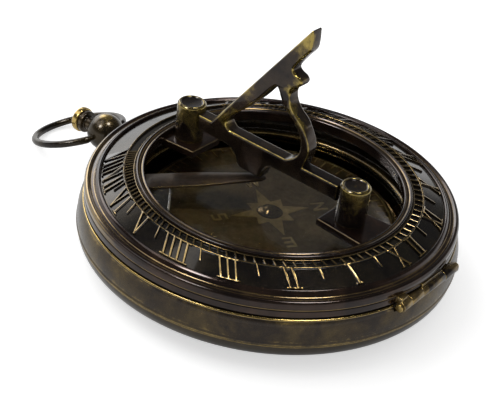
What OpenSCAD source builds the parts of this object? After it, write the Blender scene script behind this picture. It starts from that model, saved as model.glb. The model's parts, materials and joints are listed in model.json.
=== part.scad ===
// Pocket sundial compass: a round case with a compass under glass, a hinged ring lid that carries
// the hour ring and a folding gnomon, a ball crown with a push button, and a swinging bow.
// Millimetres, +Z up. The origin is the middle of the flat land that the case rests on.
// The crown is towards +Y and the hinge is towards -Y.

/* [Case] */
// Diameter of the case at its belt
case_d = 74; // [70:1:82]
// Height of the seam between the back and the belt
back_h = 6.2; // [6:0.1:7]
// Thickness of the back at its middle
back_wall = 1.4; // [1:0.1:2]
// Diameter of the flat land under the case
land_d = 26; // [16:1:40]
// Rise of the domed back from its land to its corner
dome_rise = 3; // [2.4:0.1:3.6]
// Thickness of the wall at the top of the belt
rim_wall = 2; // [1.9:0.1:2.4]

/* [Compass] */
// Thickness of the dial plate
dial_t = 0.9; // [0.7:0.1:1.1]
// Height of the degree ring over the dial plate
degree_h = 1.1; // [0.6:0.1:1.8]
// Gap between the dial plate and the card
card_gap = 2.4; // [2:0.1:3]
// Thickness of the card
card_t = 0.4; // [0.3:0.05:0.6]
// Length of the two magnets under the card
magnet_l = 30; // [20:1:36]
// Thickness of the magnets
magnet_t = 1; // [0.6:0.1:1.4]
// Width of the magnets
magnet_w = 1.6; // [1:0.1:2.4]
// Distance between the two magnets
magnet_gap = 6.4; // [5:0.1:10]
// Heading of the card's north mark at rest, counted from the crown
card_turn = -121; // [-180:1:180]
// Height of the card's bearing cap over the card
cap_h = 1; // [0.9:0.1:1.4]
// Thickness of the glass
glass_t = 1.1; // [0.8:0.1:1.6]

/* [Lid] */
// Height of the lid from its foot to its tick band
lid_h = 5.4; // [5:0.1:6.5]
// Width of the beaded shoulder outside the hour ring
shoulder_w = 2.95; // [2.7:0.05:3.4]
// Width of the sloping band that carries the numerals
numeral_w = 4.35; // [4:0.05:5]
// How far the numeral band falls towards its outer edge
numeral_fall = 1.7; // [1.2:0.1:1.9]
// Width of the tick band
tick_w = 2.2; // [1.8:0.1:2.6]
// Width of the rim inside the tick band
inner_rim_w = 1.6; // [1.4:0.1:2.2]
// Height of the numerals over their band
relief = 0.35; // [0.2:0.05:0.5]

/* [Hour lines] */
// Distance from the middle of the ring to the point the hour lines fan out from
fan_y = 14.7; // [8:0.1:18]
// Angle between two hour lines at that point
hour_angle = 15; // [13:0.5:16]
// Width of the noon gap
noon_gap = 2.7; // [1.5:0.1:3.5]

/* [Hinge] */
// Radius of the hinge barrel
knuckle_r = 1; // [0.95:0.05:1.2]
// Radius of the hinge pin
hinge_pin_r = 0.5; // [0.4:0.05:0.6]
// Half the length of the hinge barrel
hinge_half = 9; // [8.5:0.5:11]

/* [Gnomon] */
// Angle of the style edge
style_angle = 53.8; // [52:0.1:56]
// Height of the gnomon's tip over its pivot
gnomon_h = 28.9; // [25:0.1:31]
// Thickness of the gnomon's plate and bar
plate_t = 2.9; // [2.4:0.1:3.4]
// Height of the gnomon's bar
bar_h = 3.2; // [2.8:0.1:3.6]
// Depth of the tail below the pivot
tail_h = 5.1; // [4.4:0.1:5.3]
// Height of the pivot over the post tabs
pivot_rise = 4.95; // [4.8:0.05:6]
// Radius of the posts
post_r = 2.85; // [2.5:0.05:3.2]
// Height of the posts over their tabs
post_h = 7.75; // [7.2:0.05:9]
// Distance of the crown side post from the middle
post_crown_y = 21.75; // [21:0.05:22]
// Distance of the hinge side post from the middle
post_hinge_y = 17.75; // [17:0.05:19]
// Radius of the gnomon's pivot pins
pivot_r = 0.8; // [0.6:0.05:1]
// Radius of the tongue that holds a post in its tab
tongue_r = 1.4; // [1.1:0.05:1.8]
// Thickness of the riveted head under a tab
rivet_t = 0.6; // [0.4:0.1:0.8]

/* [Crown and bow] */
// Radius of the ball
ball_r = 3.85; // [3.6:0.05:4.5]
// Distance from the case to the middle of the ball
ball_reach = 7.1; // [6.8:0.1:9]
// Radius of the collar between the case and the ball
collar_r = 2; // [1.7:0.1:2.3]
// Radius of the button's stem
stem_r = 0.8; // [0.6:0.05:0.9]
// Radius of the button's head
button_r = 2.65; // [2.3:0.05:3]
// Travel of the button
travel = 1.2; // [0.8:0.1:1.2]
// Mean radius of the bow
bow_r = 9.5; // [8.5:0.1:12]
// Radius of the bow's wire
wire_r = 0.75; // [0.6:0.05:0.9]

/* [Hidden] */

// Smoothness of round parts
$fn = 96;
// Overshoot of a cut past the face it starts from
cut = 1;
// Gap round a piece that is seated and soldered or pressed in place
seat_gap = 0.02;
// Radial gap of a pin or stem that turns or slides
run_gap = 0.05;
// Gap between pieces that move past each other
clear = 0.3;

// Heights, from the land upwards
dial_seat_z = back_h - 1.2;
dial_top = dial_seat_z + dial_t;
crown_z = back_h + 0.95;
card_z = dial_top + card_gap;
card_top = card_z + card_t;
cap_top = card_top + cap_h;
glass_z = cap_top + clear;
glass_top = glass_z + glass_t;
retainer_t = 0.7;
bezel_z = glass_z - retainer_t - 0.1;
rim_z = glass_top + 0.33;
lid_z = rim_z + 0.33;
hinge_z = (rim_z + lid_z) / 2;
tick_z = lid_z + lid_h;
seat_z = tick_z - 0.95;
tab_top = tick_z - 0.7;
tab_t = 1.55;
under_z = tick_z - 1.75;
pivot_z = tab_top + pivot_rise;

// Radii, from the belt inwards
case_r = case_d / 2;
rim_r = case_r - 1.1;
rim_in = rim_r - rim_wall;
shelf_r = rim_in - 0.9;
dial_r = shelf_r - 0.1;
ledge_r = shelf_r - 1.7;
lid_r = rim_r - 0.1;
skirt_in = rim_in;
hour_out = lid_r - shoulder_w;
tick_out = hour_out - numeral_w;
tick_in = tick_out - tick_w;
open_r = tick_in - inner_rim_w;
card_r = open_r - 0.2;
degree_in = card_r + 1;
degree_out = dial_r - 2.8;
glass_r = open_r + 2.7;

// Hinge
hinge_y = -(rim_r + 0.1);
hinge_joints = [-hinge_half, -hinge_half + 2.6, -2.6, 4.6, hinge_half];
tenon_w = 1.3;

// Crown, button and latch
ball_y = case_r + ball_reach;
// Radius of the bow's two tips, which turn in the ball
bow_tip_r = 0.55;
bow_tip_l = 1.2;
bow_arm = ball_r + wire_r + 0.15;
bow_off = sqrt(bow_r * bow_r - bow_arm * bow_arm);
bow_droop = asin((crown_z - wire_r - 0.05) / (bow_off + bow_r));
button_y = ball_y + ball_r + travel + 0.05;
spring_y = ball_y + 0.3;
spring_l = 2.5;
spring_r = 1.25;
spring_wire = 0.15;
spring_turns = 3.5;
pocket_r = 1.9;
shank_r = 1.5;
hook_y = shelf_r - 1.3;
hook_t = 1;
hook_top = lid_z + 1.25;
nose_y = shelf_r - 0.05;
catch_y = nose_y + clear;
catch_t = 0.65;

// Numerals and ticks
tick_step = hour_angle / 6;
tick_bar_w = 0.32;
last_hour = 8;
numeral_r = (tick_out + hour_out) / 2 - 0.05;
numeral_h = numeral_w - 0.35;
stroke_w = 0.36;
thin_w = 0.26;
pitch = 1.32;
serif = pitch + 0.04;
serif_t = 0.24;
v_w = 2.5;

// Leaf spring under the gnomon's tail
spring_bearing = 136;
leaf_root_r = tick_in - 0.2;
leaf_tip = [0.9, 2.9];
leaf_t = 0.45;
leaf_root = leaf_root_r * [cos(spring_bearing), sin(spring_bearing)];
leaf_run = leaf_tip - leaf_root;
leaf_l = norm(leaf_run);
leaf_turn = atan2(leaf_run[1], leaf_run[0]);
tail_swing = norm([plate_t / 2, tail_h]);
leaf_top = pivot_z - tail_swing - clear;

// Points of a quadratic curve from a to c, drawn towards b
function bend(a, b, c, n) =
    [for (i = [0:n]) let (t = i / n) (1 - t) * (1 - t) * a + 2 * t * (1 - t) * b + t * t * c];

// Points of a smooth curve through the points p
function smooth(p, n) =
    [for (i = [0:len(p) - 2], k = [0:n - 1])
        let (t = k / n, a = p[max(i - 1, 0)], b = p[i], c = p[i + 1], d = p[min(i + 2, len(p) - 1)])
        0.5 * (2 * b + (c - a) * t + (2 * a - 5 * b + 4 * c - d) * t * t
               + (3 * b - a - 3 * c + d) * t * t * t)];

// Distance along an hour line from the fan point to the circle of radius r
function fan_reach(r, a) = fan_y * cos(a) + sqrt(r * r - pow(fan_y * sin(a), 2));

// Height of the numeral band at radius r
function band_z(r) = tick_z - 0.2 - numeral_fall * (r - tick_out) / numeral_w;

// Turns a shape drawn along +Z to run along +Y at the crown's height
module along_y(y) {
    translate([0, y, crown_z]) rotate([-90, 0, 0]) children();
}

// Cylinder along X on the hinge axis
module hinge_rod(r, x0, x1) {
    translate([x0, hinge_y, hinge_z]) rotate([0, 90, 0]) cylinder(h = x1 - x0, r = r);
}

// Case

module neck_hole() {
    along_y(case_r - 1.4) cylinder(h = 2 + cut, r = collar_r + seat_gap);
    along_y(shelf_r - cut) cylinder(h = case_r - shelf_r + cut, r = stem_r + run_gap);
}

module case_back() {
    land_r = land_d / 2;
    corner_r = case_r - 2.5;
    edge_r = case_r - 0.2;
    slope = 2 * dome_rise / (corner_r - land_r);
    dome = [for (i = [0:10]) let (t = i / 10) [land_r + t * (corner_r - land_r), dome_rise * t * t]];
    corner = bend([corner_r, dome_rise], [edge_r, dome_rise + slope * (edge_r - corner_r)],
                  [edge_r, back_h], 7);
    inside_r = ledge_r - 0.4;
    hollow = [for (i = [10:-1:0]) let (t = i / 10)
              [land_r + t * (inside_r - land_r), back_wall + (dome_rise - 0.6) * t * t]];
    color("#3a3226") difference() {
        rotate_extrude() polygon(concat([[0, 0]], dome, corner,
            [[shelf_r, back_h], [shelf_r, dial_seat_z], [ledge_r, dial_seat_z], [ledge_r, dome_rise + 1]],
            hollow, [[0, back_wall]]));
        neck_hole();
        dial_screw_holes();
    }
}

module case_belt() {
    side = bend([case_r - 0.15, back_h + 0.75], [case_r - 0.1, rim_z - 2], [rim_r + 0.1, rim_z - 0.4], 9);
    color("#4a3d2a") difference() {
        rotate_extrude() polygon(concat(
            [[shelf_r, back_h], [case_r - 0.2, back_h], [case_r - 0.05, back_h + 0.15],
             [case_r, back_h + 0.4], [case_r - 0.1, back_h + 0.65]],
            side,
            [[rim_r + 0.15, rim_z - 0.2], [rim_r, rim_z], [rim_in, rim_z], [rim_in, bezel_z],
             [shelf_r, bezel_z]]));
        neck_hole();
        hinge_cuts(1, -1);
    }
}

// Cuts for the hinge: own is the first knuckle that this side holds, side is up or down
module hinge_cuts(own, side) {
    for (i = [0:3]) {
        mine = i % 2 == own;
        grow = mine ? seat_gap : clear;
        hinge_rod(knuckle_r + grow, hinge_joints[i] - clear, hinge_joints[i + 1] + clear);
        if (mine) tenon(i, side, seat_gap);
    }
}

// Tongue that ties knuckle i to the lid (side 1) or to the belt (side -1)
module tenon(i, side, grow) {
    x0 = hinge_joints[i] + 0.3;
    x1 = hinge_joints[i + 1] - 0.3;
    depth = side > 0 ? hinge_half * hinge_half / (2 * lid_r) + 0.8 : 1.6;
    height = side > 0 ? tenon_w : 2.6;
    base = side > 0 ? lid_z + 0.1 : hinge_z - height;
    translate([x0 - grow, hinge_y - grow, base - grow])
        cube([x1 - x0 + 2 * grow, depth + 2 * grow, height + 2 * grow]);
}

module knuckle(i, side, bore) {
    x0 = hinge_joints[i] + 0.05;
    x1 = hinge_joints[i + 1] - 0.05;
    difference() {
        union() {
            hinge_rod(knuckle_r, x0, x1);
            tenon(i, side, 0);
        }
        hinge_rod(bore, x0 - cut, x1 + cut);
    }
}

module case_knuckles() {
    color("#57472c") for (i = [1, 3]) knuckle(i, -1, hinge_pin_r + 0.01);
}

module hinge_pin() {
    color("#b08d45") union() {
        hinge_rod(hinge_pin_r, -hinge_half - 0.3, hinge_half + 0.3);
        hinge_rod(hinge_pin_r + 0.25, -hinge_half - 0.5, -hinge_half - 0.05);
        hinge_rod(hinge_pin_r + 0.25, hinge_half + 0.05, hinge_half + 0.5);
    }
}

// Compass

module at_dial_screws() {
    for (a = [30, 150, 270]) rotate([0, 0, a]) translate([(ledge_r + dial_r) / 2, 0, 0]) children();
}

module dial_screw_holes() {
    at_dial_screws() translate([0, 0, dial_seat_z - 1.4]) cylinder(h = 1.4 + cut, r = 0.42);
}

module dial_plate() {
    color("#6b5a3a") translate([0, 0, dial_seat_z]) difference() {
        cylinder(h = dial_t, r = dial_r);
        translate([0, 0, -cut]) cylinder(h = dial_t + 2 * cut, r = 0.92);
        at_dial_screws() translate([0, 0, -cut]) cylinder(h = dial_t + 2 * cut, r = 0.45);
    }
}

module dial_screws() {
    color("#8c7440") at_dial_screws() translate([0, 0, dial_seat_z - 1.3]) difference() {
        union() {
            cylinder(h = 1.3 + dial_t, r = 0.4);
            translate([0, 0, 1.3 + dial_t]) cylinder(h = 0.4, r = 0.75);
        }
        translate([-1, -0.1, 1.5 + dial_t]) cube([2, 0.2, 1]);
    }
}

module degree_ring() {
    mark_h = 0.12;
    color("#7a6538") union() {
        translate([0, 0, dial_top]) rotate_extrude()
            polygon([[degree_in, 0], [degree_out, 0], [degree_out, degree_h], [degree_in + 0.5, degree_h],
                     [degree_in, degree_h - 0.4]]);
        for (i = [0:35])
            rotate([0, 0, i * 10]) translate([degree_in + 0.7, -0.12, dial_top + degree_h - 0.05])
                cube([i % 3 == 0 ? 2.4 : 1.4, 0.24, mark_h + 0.05]);
    }
}

module pivot_post() {
    color("#b39554") rotate_extrude() polygon([[0, dial_seat_z - 1.2], [0.9, dial_seat_z - 1.2],
        [0.9, dial_top], [1.7, dial_top], [1.7, dial_top + 0.4], [0.9, dial_top + 0.9],
        [0.5, dial_top + 1.2], [0.5, card_top - 0.3], [0.08, card_top + cap_h - 0.45],
        [0, card_top + cap_h - 0.45]]);
}

module pivot_nut() {
    color("#8c7440") translate([0, 0, dial_seat_z - 0.9]) difference() {
        cylinder(h = 0.9, r = 1.9, $fn = 6);
        translate([0, 0, -cut]) cylinder(h = 0.9 + 2 * cut, r = 0.9 + seat_gap, $fn = 96);
    }
}

module compass_card() {
    color("#26221d") translate([0, 0, card_z]) difference() {
        cylinder(h = card_t, r = card_r);
        translate([0, 0, -cut]) cylinder(h = card_t + 2 * cut, r = 1.6 + seat_gap);
    }
}

// Straight stroke between two points, w wide
module stroke(a, b, w) {
    d = b - a;
    n = [-d[1], d[0]] * (w / 2 / norm(d));
    polygon([a + n, b + n, b - n, a - n]);
}

module letter(name) {
    w = 0.42;
    if (name == "N") {
        stroke([-1, -1.5], [-1, 1.5], w);
        stroke([-1, 1.4], [1, -1.4], w);
        stroke([1, -1.5], [1, 1.5], w);
    }
    if (name == "E") {
        stroke([-0.9, -1.5], [-0.9, 1.5], w);
        for (y = [-1.3, 0, 1.3]) stroke([-1.1, y], [0.95, y], w);
    }
    if (name == "S") {
        for (y = [-1.3, 0, 1.3]) stroke([-0.9, y], [0.9, y], w);
        stroke([-0.75, -0.05], [-0.75, 1.5], w);
        stroke([0.75, -1.5], [0.75, 0.05], w);
    }
    if (name == "W") {
        stroke([-1.5, 1.5], [-0.75, -1.4], w);
        stroke([-0.75, -1.4], [0, 0.9], w);
        stroke([0, 0.9], [0.75, -1.4], w);
        stroke([0.75, -1.4], [1.5, 1.5], w);
    }
}

// Eight pointed star with four long points
module star(long, short, waist) {
    polygon([for (i = [0:15]) let (r = i % 4 == 0 ? long : i % 2 == 0 ? short : waist)
             r * [sin(i * 22.5), cos(i * 22.5)]]);
}

module card_rose() {
    names = ["N", "W", "S", "E"];
    rose_h = 0.15;
    letter_r = card_r - 14.2;
    color("#c8b27a") translate([0, 0, card_top]) rotate(card_turn) linear_extrude(rose_h) {
        difference() {
            star(letter_r - 2.3, letter_r - 5.2, 3.4);
            circle(r = 2.6);
        }
        for (i = [0:3]) rotate(i * 90) translate([0, letter_r]) letter(names[i]);
        difference() {
            circle(r = card_r - 0.6);
            circle(r = card_r - 0.9);
        }
        for (i = [0:71]) rotate(i * 5)
            translate([card_r - (i % 2 == 0 ? 3.2 : 2.2), -0.11]) square([i % 2 == 0 ? 2.4 : 1.4, 0.22]);
    }
}

module card_magnets() {
    color("#55585c") rotate(card_turn) for (x = [-magnet_gap / 2 - magnet_w, magnet_gap / 2])
        translate([x, -magnet_l / 2, card_z - magnet_t]) cube([magnet_w, magnet_l, magnet_t]);
}

module card_cap() {
    color("#c2a35a") rotate_extrude() polygon([[0.75, card_z - 0.3], [1.6, card_z - 0.3],
        [1.6, card_top], [2.3, card_top], [2.3, card_top + 0.25], [1.5, card_top + 0.45],
        [1.1, cap_top - 0.1], [0.6, cap_top], [0, cap_top], [0, card_top + cap_h - 0.4],
        [0.75, card_top]]);
}

module glass_pane() {
    color([0.8, 0.85, 0.85, 0.35]) translate([0, 0, glass_z]) cylinder(h = glass_t, r = glass_r);
}

module glass_retainer() {
    color("#8c7440") translate([0, 0, glass_z - retainer_t]) difference() {
        cylinder(h = retainer_t, r = glass_r + 0.05);
        translate([0, 0, -cut]) cylinder(h = retainer_t + 2 * cut, r = glass_r - 1.1);
    }
}

module glass_bezel() {
    lip_z = glass_top + seat_gap;
    step_r = glass_r + 3.8;
    color("#6f5a30") difference() {
        rotate_extrude() polygon([[glass_r + 0.1, bezel_z], [rim_in - 0.1, bezel_z],
            [rim_in - 0.1, rim_z - 0.6], [rim_in - 0.5, rim_z - 0.25], [step_r, rim_z - 0.25],
            [step_r - 0.3, rim_z + 0.05], [glass_r + 1, rim_z + 0.05], [glass_r + 0.6, rim_z + 0.3],
            [glass_r - 0.6, rim_z + 0.3], [glass_r - 0.9, rim_z + 0.05], [glass_r - 0.9, lip_z],
            [glass_r + 0.1, lip_z]]);
        translate([-2.3, hook_y - travel - clear, bezel_z - cut]) cube([4.6, 6, 4]);
    }
}

// Crown, button and bow

module crown_collar() {
    color("#5c4a2a") along_y(0) difference() {
        union() {
            translate([0, 0, case_r - 1.4]) cylinder(h = ball_reach + 1.4 - ball_r + 1.2, r = collar_r);
            translate([0, 0, case_r + 0.05]) cylinder(h = 0.7, r = collar_r + 0.6);
        }
        translate([0, 0, case_r - 1.4 - cut]) cylinder(h = ball_reach + 2 * cut, r = stem_r + run_gap);
    }
}

module crown_ball() {
    color("#6b552e") difference() {
        translate([0, ball_y, crown_z]) rotate([0, 0, 45]) sphere(r = ball_r);
        along_y(ball_y - ball_r - cut) cylinder(h = cut + 1.2, r = collar_r + seat_gap);
        along_y(ball_y - ball_r) cylinder(h = 2 * ball_r, r = stem_r + run_gap);
        along_y(spring_y) cylinder(h = ball_r + cut, r = pocket_r);
        for (s = [-1, 1])
            translate([s * (ball_r - bow_tip_l - 0.1), ball_y, crown_z]) rotate([0, s * 90, 0])
                cylinder(h = bow_tip_l + 0.1 + cut, r = bow_tip_r + run_gap);
    }
}

module push_button() {
    y = button_y;
    shank_y = spring_y + spring_l;
    color("#9a7b3a") along_y(0) rotate_extrude() polygon([[0, hook_y], [0.5, hook_y],
        [0.5, hook_y + hook_t], [stem_r, hook_y + hook_t], [stem_r, shank_y], [shank_r, shank_y],
        [shank_r, y], [button_r - 0.3, y], [button_r - 0.3, y + 0.8], [button_r - 0.5, y + 0.9],
        [button_r - 0.5, y + 1.05], [button_r, y + 1.2], [button_r, y + 2.3],
        [button_r - 0.35, y + 2.65], [button_r - 0.9, y + 2.7], [button_r - 1.2, y + 2.5], [0, y + 2.65]]);
}

module latch_hook() {
    low = crown_z - 0.75;
    color("#7a6134") difference() {
        union() {
            translate([-1.5, hook_y, low]) cube([3, hook_t, hook_top - low]);
            translate([-1.5, hook_y, hook_top - 0.4]) cube([3, nose_y - hook_y, 0.4]);
        }
        along_y(hook_y - cut) cylinder(h = hook_t + 2 * cut, r = 0.5 + seat_gap);
    }
}

// Ring k of the spring's tube, counted along the coil
function coil_ring(k, n, sides) =
    let (a = 360 * spring_turns * k / n,
         z = spring_wire + (spring_l - 2 * spring_wire) * k / n,
         climb = atan2(spring_l - 2 * spring_wire, 2 * PI * spring_r * spring_turns))
    [for (j = [0:sides - 1]) let (b = 360 * j / sides, u = spring_wire * cos(b), v = spring_wire * sin(b))
        [(spring_r + u) * cos(a) + v * sin(climb) * sin(a),
         (spring_r + u) * sin(a) - v * sin(climb) * cos(a),
         z + v * cos(climb)]];

module button_spring() {
    sides = 6;
    n = 8 * spring_turns;
    points = [for (k = [0:n]) for (p = coil_ring(k, n, sides)) p];
    walls = [for (k = [0:n - 1], j = [0:sides - 1])
        let (a = k * sides + j, b = k * sides + (j + 1) % sides)
        each [[a, b, b + sides], [a, b + sides, a + sides]]];
    ends = [for (j = [1:sides - 2]) each [[0, j + 1, j],
            [n * sides, n * sides + j, n * sides + j + 1]]];
    echo(least_gap = (spring_l - 2 * spring_wire) / spring_turns - 2 * spring_wire);
    color("#8a8a86") along_y(spring_y) polyhedron(points, concat(walls, ends));
}

module bow_ring() {
    reach = 2 * bow_r;
    color("#54432a") translate([0, ball_y, crown_z]) rotate([-bow_droop, 0, 0]) union() {
        intersection() {
            translate([0, bow_off, 0]) rotate_extrude() translate([bow_r, 0]) circle(r = wire_r, $fn = 48);
            difference() {
                translate([-reach, -wire_r, -reach]) cube([2 * reach, 2 * reach, 2 * reach]);
                sphere(r = ball_r + clear);
            }
        }
        for (s = [-1, 1])
            translate([s * (ball_r - bow_tip_l), 0, 0]) rotate([0, s * 90, 0])
                cylinder(h = bow_arm - ball_r + bow_tip_l, r = bow_tip_r);
    }
}

// Lid

module lid_ring() {
    color("#332c22") difference() {
        union() {
            rotate_extrude() polygon([[open_r, under_z], [open_r, tick_z + 0.2],
                [open_r + 0.25, tick_z + 0.45], [open_r + 0.5, tick_z + 0.25],
                [tick_in - 0.55, tick_z + 0.3], [tick_in - 0.3, tick_z + 0.6],
                [tick_in, tick_z + 0.45], [tick_in, seat_z], [tick_out, seat_z],
                [hour_out, seat_z - numeral_fall], [hour_out, tick_z - 1.6],
                [hour_out + 0.35, tick_z - 1.4], [hour_out + 0.75, tick_z - 1.75],
                [hour_out + 1.15, tick_z - 2.4], [hour_out + 1.75, tick_z - 2.55],
                [lid_r - 0.65, tick_z - 2.2], [lid_r - 0.25, tick_z - 2.35],
                [lid_r, tick_z - 2.85], [lid_r, tick_z - 3.75], [lid_r - 0.2, tick_z - 3.95],
                [lid_r, tick_z - 4.2], [lid_r, lid_z], [skirt_in, lid_z],
                [skirt_in, tick_z - 3.95], [skirt_in - 0.5, tick_z - 3.65],
                [tick_out - 0.2, tick_z - 2.15], [tick_out - 0.6, under_z]]);
            post_tab(post_crown_y, 1);
            post_tab(post_hinge_y, -1);
        }
        for (y = [post_crown_y, -post_hinge_y])
            translate([0, y, tab_top - tab_t - cut]) cylinder(h = tab_t + 2 * cut, r = tongue_r + seat_gap);
        hinge_cuts(0, 1);
        catch_block(seat_gap);
        at_spring_screws() translate([0, 0, under_z - cut]) cylinder(h = 0.7 + cut, r = 0.42);
    }
}

// Tab that carries a post, reaching in from the ring
module post_tab(y, s) {
    inner = y - post_r - 1.75;
    outer = open_r + 0.8;
    translate([0, 0, tab_top - tab_t]) linear_extrude(tab_t)
        polygon([[-4.1, s * inner], [4.1, s * inner], [4.9, s * (outer - 0.6)], [4.6, s * outer],
                 [-4.6, s * outer], [-4.9, s * (outer - 0.6)]]);
}

module catch_block(grow) {
    translate([-2.5 - grow, catch_y - grow, lid_z + 0.1 - grow])
        cube([5 + 2 * grow, skirt_in + 0.6 - catch_y + 2 * grow, catch_t + 2 * grow]);
}

module lid_catch() {
    color("#7a6134") catch_block(0);
}

module lid_knuckles() {
    color("#8f7338") for (i = [0, 2]) knuckle(i, 1, hinge_pin_r + run_gap);
}

// Point of the numeral band beside the hour line at angle a: u across it, v towards the middle
function band_point(a, u, v) =
    let (b = [-sign(a) * noon_gap / 2 + u * cos(a), fan_y - u * sin(a)],
         d = [sin(a), cos(a)], m = b * d, r = numeral_r - v)
    b - d * (m + sqrt(m * m - b * b + r * r));

// Straight stroke of a letter from p to q, w wide, set out on the band
module band_stroke(a, u, p, q, w) {
    d = q - p;
    n = [-d[1], d[0]] * (w / 2 / norm(d));
    polygon([for (c = [p + n, q + n, q - n, p - n]) band_point(a, u + c[0], c[1])]);
}

// Roman numeral letter c beside the hour line at angle a
module roman(c, a, u) {
    h = numeral_h / 2;
    e = h - serif_t / 2;
    x = v_w / 2 - 0.42;
    if (c == "I") {
        band_stroke(a, u, [0, -h], [0, h], stroke_w);
        for (s = [-1, 1]) band_stroke(a, u, [-serif / 2, s * e], [serif / 2, s * e], serif_t);
    }
    if (c == "V") {
        band_stroke(a, u, [-x, h], [0.1, -h], stroke_w);
        band_stroke(a, u, [x, h], [0, -h], thin_w);
        for (s = [-1, 1]) band_stroke(a, u, [s * x - 0.4, e], [s * x + 0.4, e], serif_t);
    }
    if (c == "X") {
        band_stroke(a, u, [-x, h], [x, -h], stroke_w);
        band_stroke(a, u, [x, h], [-x, -h], thin_w);
        for (s = [-1, 1], t = [-1, 1])
            band_stroke(a, u, [s * x - 0.4, t * e], [s * x + 0.4, t * e], serif_t);
    }
}

function letter_w(c) = c == "I" ? pitch : v_w;
function width_to(t, n) = n == 0 ? 0 : letter_w(t[n - 1]) + width_to(t, n - 1);

// Whole numeral t, centred beside the hour line at angle a
module numeral(t, a, u = 0) {
    for (i = [0:len(t) - 1])
        roman(t[i], a, u + width_to(t, i) + letter_w(t[i]) / 2 - width_to(t, len(t)) / 2);
}

module numerals() {
    afternoon = ["I", "II", "III", "IIII", "V", "VI", "VII", "VIII"];
    morning = ["XI", "X", "IX", "VIII", "VII", "VI", "V", "IIII"];
    for (i = [0:last_hour - 1]) {
        numeral(afternoon[i], (i + 1) * hour_angle);
        numeral(morning[i], -(i + 1) * hour_angle);
    }
    // Noon stands astride the gap, with its first letter on one side
    numeral("X", 0, -noon_gap / 2 - v_w / 2);
    numeral("II", 0, noon_gap / 2 + pitch);
}

// Bars along the hour lines between two circles, every step degrees of the fan
module line_bars(r0, r1, first, last, step, w) {
    for (s = [-1, 1], i = [first:step:last]) {
        a = i * tick_step;
        reach0 = fan_reach(r0 - 0.4, a);
        reach1 = fan_reach(r1 + 0.4, a);
        translate([-s * noon_gap / 2, fan_y]) rotate(-s * a)
            translate([-w / 2, -reach1]) square([w, reach1 - reach0]);
    }
}

module band_of(r0, r1) {
    difference() {
        circle(r = r1);
        circle(r = r0);
    }
}

module hour_ring() {
    inner = tick_in + 0.05;
    outer = hour_out - 0.05;
    floor_z = tick_z - 0.45;
    foot_z = seat_z + seat_gap;
    seat_end = foot_z - numeral_fall * (outer - tick_out) / numeral_w;
    color("#3f3628") union() {
        rotate_extrude() polygon([[inner, foot_z], [tick_out, foot_z], [outer, seat_end],
            [outer, band_z(outer)], [tick_out + 0.15, band_z(tick_out + 0.15)],
            [tick_out + 0.15, tick_z], [tick_out - 0.15, tick_z], [tick_out - 0.15, floor_z],
            [inner + 0.4, floor_z], [inner + 0.4, tick_z + 0.1], [inner, tick_z + 0.1]]);
        translate([0, 0, floor_z - 0.1]) linear_extrude(0.45) intersection() {
            band_of(inner + 0.3, tick_out);
            line_bars(inner, tick_out, 0, 51, 1, tick_bar_w);
        }
        intersection() {
            rotate_extrude() polygon([[tick_out + 0.05, band_z(tick_out) - 0.15],
                [outer - 0.1, band_z(outer) - 0.15], [outer - 0.1, band_z(outer) + relief],
                [tick_out + 0.05, band_z(tick_out) + relief]]);
            translate([0, 0, band_z(outer) - 1]) linear_extrude(numeral_fall + 3) union() {
                numerals();
                intersection() {
                    band_of(tick_out, tick_out + 2.4);
                    line_bars(tick_out, tick_out + 2.4, 3, 45, 6, thin_w);
                }
            }
        }
    }
}

module gnomon_posts() {
    low = tab_top - tab_t;
    color("#6e5830") for (y = [post_crown_y, -post_hinge_y]) difference() {
        translate([0, y, 0]) rotate_extrude() polygon([[0, low], [tongue_r, low], [tongue_r, tab_top],
            [post_r, tab_top], [post_r, tab_top + post_h - 0.35], [post_r - 0.35, tab_top + post_h],
            [post_r - 0.6, tab_top + post_h], [post_r - 0.8, tab_top + post_h - 0.25],
            [0, tab_top + post_h - 0.4]]);
        pin_rods(pivot_r + 0.01);
    }
}

// The two pins on the gnomon's axis
module pin_rods(r) {
    inner = bar_ends();
    for (p = [[inner[1] - 1.8, post_crown_y], [-post_hinge_y, inner[0] + 1.8]])
        translate([0, p[0], pivot_z]) rotate([-90, 0, 0]) cylinder(h = p[1] - p[0], r = r);
}

// Where the gnomon's bar ends, with its side play
function bar_ends() = [-post_hinge_y + post_r + 0.15, post_crown_y - post_r - 0.15];

module gnomon_pins() {
    color("#a88a48") pin_rods(pivot_r);
}

module post_rivets() {
    color("#7a6134") for (y = [post_crown_y, -post_hinge_y])
        translate([0, y, tab_top - tab_t - rivet_t]) cylinder(h = rivet_t, r = tongue_r + 0.8);
}

module at_spring_screws() {
    translate([leaf_root[0], leaf_root[1], 0]) rotate([0, 0, leaf_turn])
        for (v = [-1.1, 1.1]) translate([0, v, 0]) children();
}

module leaf_spring() {
    end_z = leaf_top - leaf_t;
    root_z = under_z - leaf_t;
    color("#6a5836") translate([leaf_root[0], leaf_root[1], 0]) rotate([0, 0, leaf_turn]) difference() {
        intersection() {
            rotate([90, 0, 0]) translate([0, 0, -4]) linear_extrude(8)
                polygon([[-1.4, root_z], [3, root_z], [leaf_l, end_z], [leaf_l, leaf_top],
                         [3, under_z], [-1.4, under_z]]);
            linear_extrude(under_z + 5) polygon([[-1.4, -2.35], [12, -2.3], [leaf_l - 1, -1.2],
                [leaf_l, -0.6], [leaf_l, 0.6], [leaf_l - 1, 1.2], [12, 2.3], [-1.4, 2.35]]);
        }
        for (v = [-1.1, 1.1]) translate([0, v, root_z - cut]) cylinder(h = 3, r = 0.45);
    }
}

module spring_screws() {
    color("#8c7440") at_spring_screws() translate([0, 0, under_z - leaf_t - 0.45]) union() {
        cylinder(h = 0.45, r = 0.8);
        cylinder(h = 0.45 + leaf_t + 0.6, r = 0.4);
    }
}

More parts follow.
